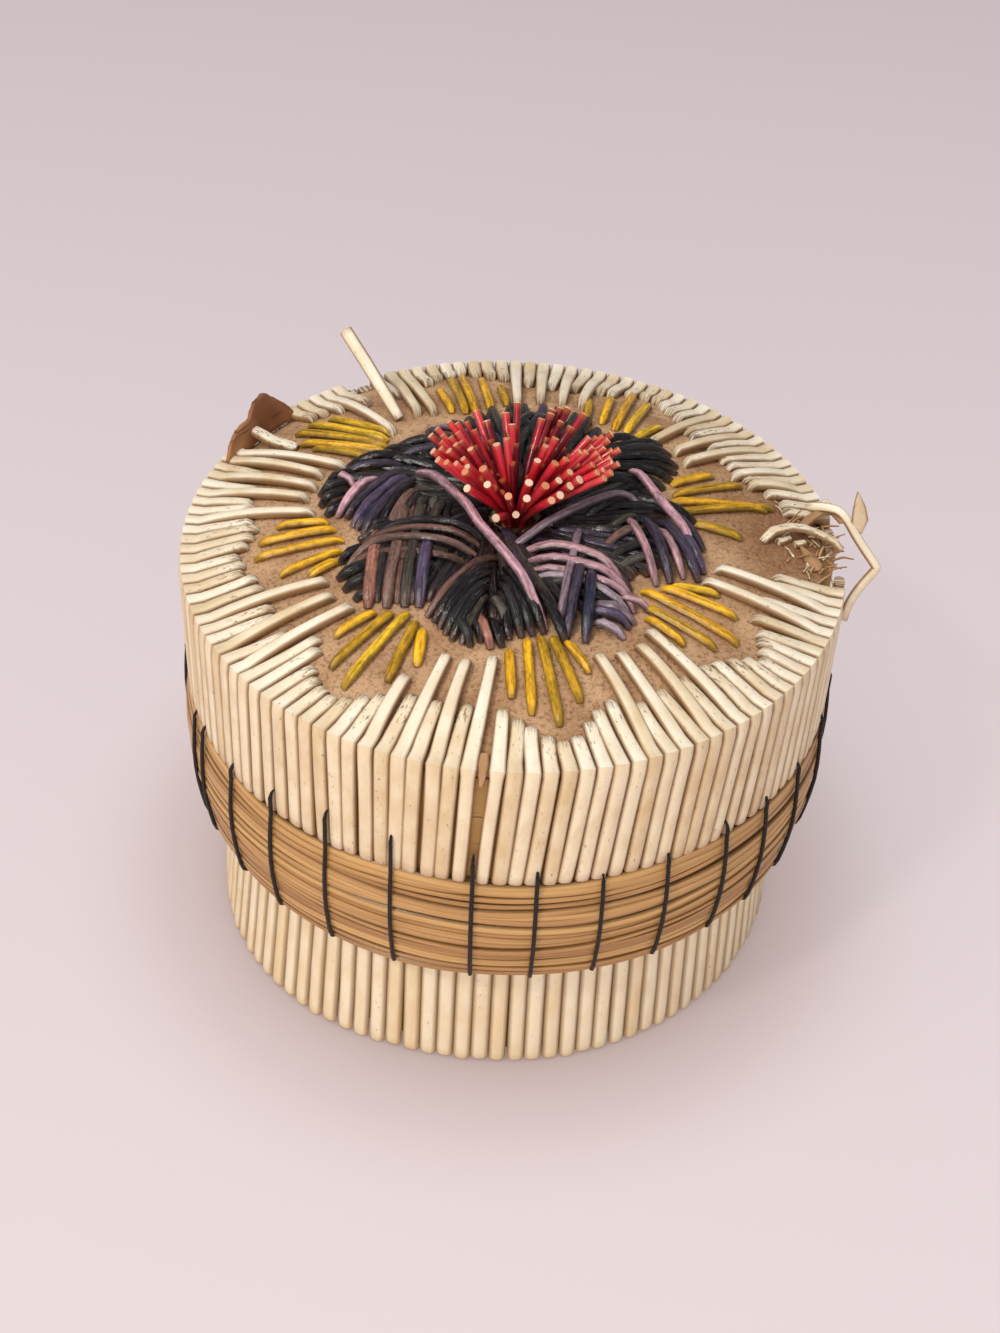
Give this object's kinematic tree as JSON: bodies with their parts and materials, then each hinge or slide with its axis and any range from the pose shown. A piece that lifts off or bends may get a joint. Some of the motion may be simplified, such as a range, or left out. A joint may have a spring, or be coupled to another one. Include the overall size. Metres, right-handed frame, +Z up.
{
  "type": "quill basket",
  "caption": "Small round bark box and lift-off lid covered in porcupine quills, with a quilled flower and red tuft on top and a sweetgrass band stitched round the lid.",
  "frame": {"origin": "centre of the box's underside, on the surface it stands on", "axes": "+Z up along the box's axis; -Y is the side the picture sees, +X to its right"},
  "size_m": [0.098, 0.0938, 0.0752],
  "materials": {
    "bark": "matte",
    "lining_bark": "matte",
    "box_quill": "satin",
    "edge_quill": "satin",
    "yellow_quill": "satin",
    "dark_quill": "satin",
    "pink_quill": "satin",
    "red_quill": "satin",
    "sweetgrass": "satin",
    "thread": "matte"
  },
  "bodies": {
    "box": {"box_side_hoop": "bark", "box_bottom_disc": "bark", "box_lining_sleeve": "lining_bark", "box_bottom_lining": "lining_bark", "box_neck_strip": "lining_bark", "box_quills_1": "box_quill", "box_quills_2": "box_quill", "box_quills_3": "box_quill", "box_quills_4": "box_quill", "box_quills_5": "box_quill", "box_quills_6": "box_quill", "box_quills_7": "box_quill", "box_quills_8": "box_quill"},
    "lid": {"lid_top_disc": "bark", "lid_side_hoop": "bark", "lid_lining_disc": "lining_bark", "lid_lining_hoop": "lining_bark", "torn_bark_flap": "bark", "lid_edge_quills_1": "edge_quill", "lid_edge_quills_2": "edge_quill", "lid_edge_quills_3": "edge_quill", "lid_edge_quills_4": "edge_quill", "lid_edge_quills_5": "edge_quill", "lid_edge_quills_6": "edge_quill", "lid_edge_quills_7": "edge_quill", "lid_edge_quills_8": "edge_quill", "sprung_quill": "edge_quill", "hanging_quill": "edge_quill", "yellow_fan_1": "yellow_quill", "yellow_fan_2": "yellow_quill", "yellow_fan_3": "yellow_quill", "yellow_fan_4": "yellow_quill", "yellow_fan_5": "yellow_quill", "yellow_fan_6": "yellow_quill", "yellow_fan_7": "yellow_quill", "yellow_fan_8": "yellow_quill", "flower_lobe_1": "dark_quill", "flower_lobe_2": "dark_quill", "flower_lobe_3": "dark_quill", "flower_lobe_4": "dark_quill", "flower_lobe_5": "dark_quill", "flower_lobe_6": "dark_quill", "flower_lobe_7": "dark_quill", "flower_lobe_8": "dark_quill", "brown_arc_quills": "dark_quill", "pink_arc_quills": "pink_quill", "long_pink_quill": "pink_quill", "red_tuft": "red_quill", "sweetgrass_band": "sweetgrass", "band_stitching": "thread"}
  },
  "joints": [
    {"name": "lid_lift", "type": "slide", "parent": "box", "child": "lid", "axis": [0, 0, 1], "range_m": [0, 0.06]}
  ]
}
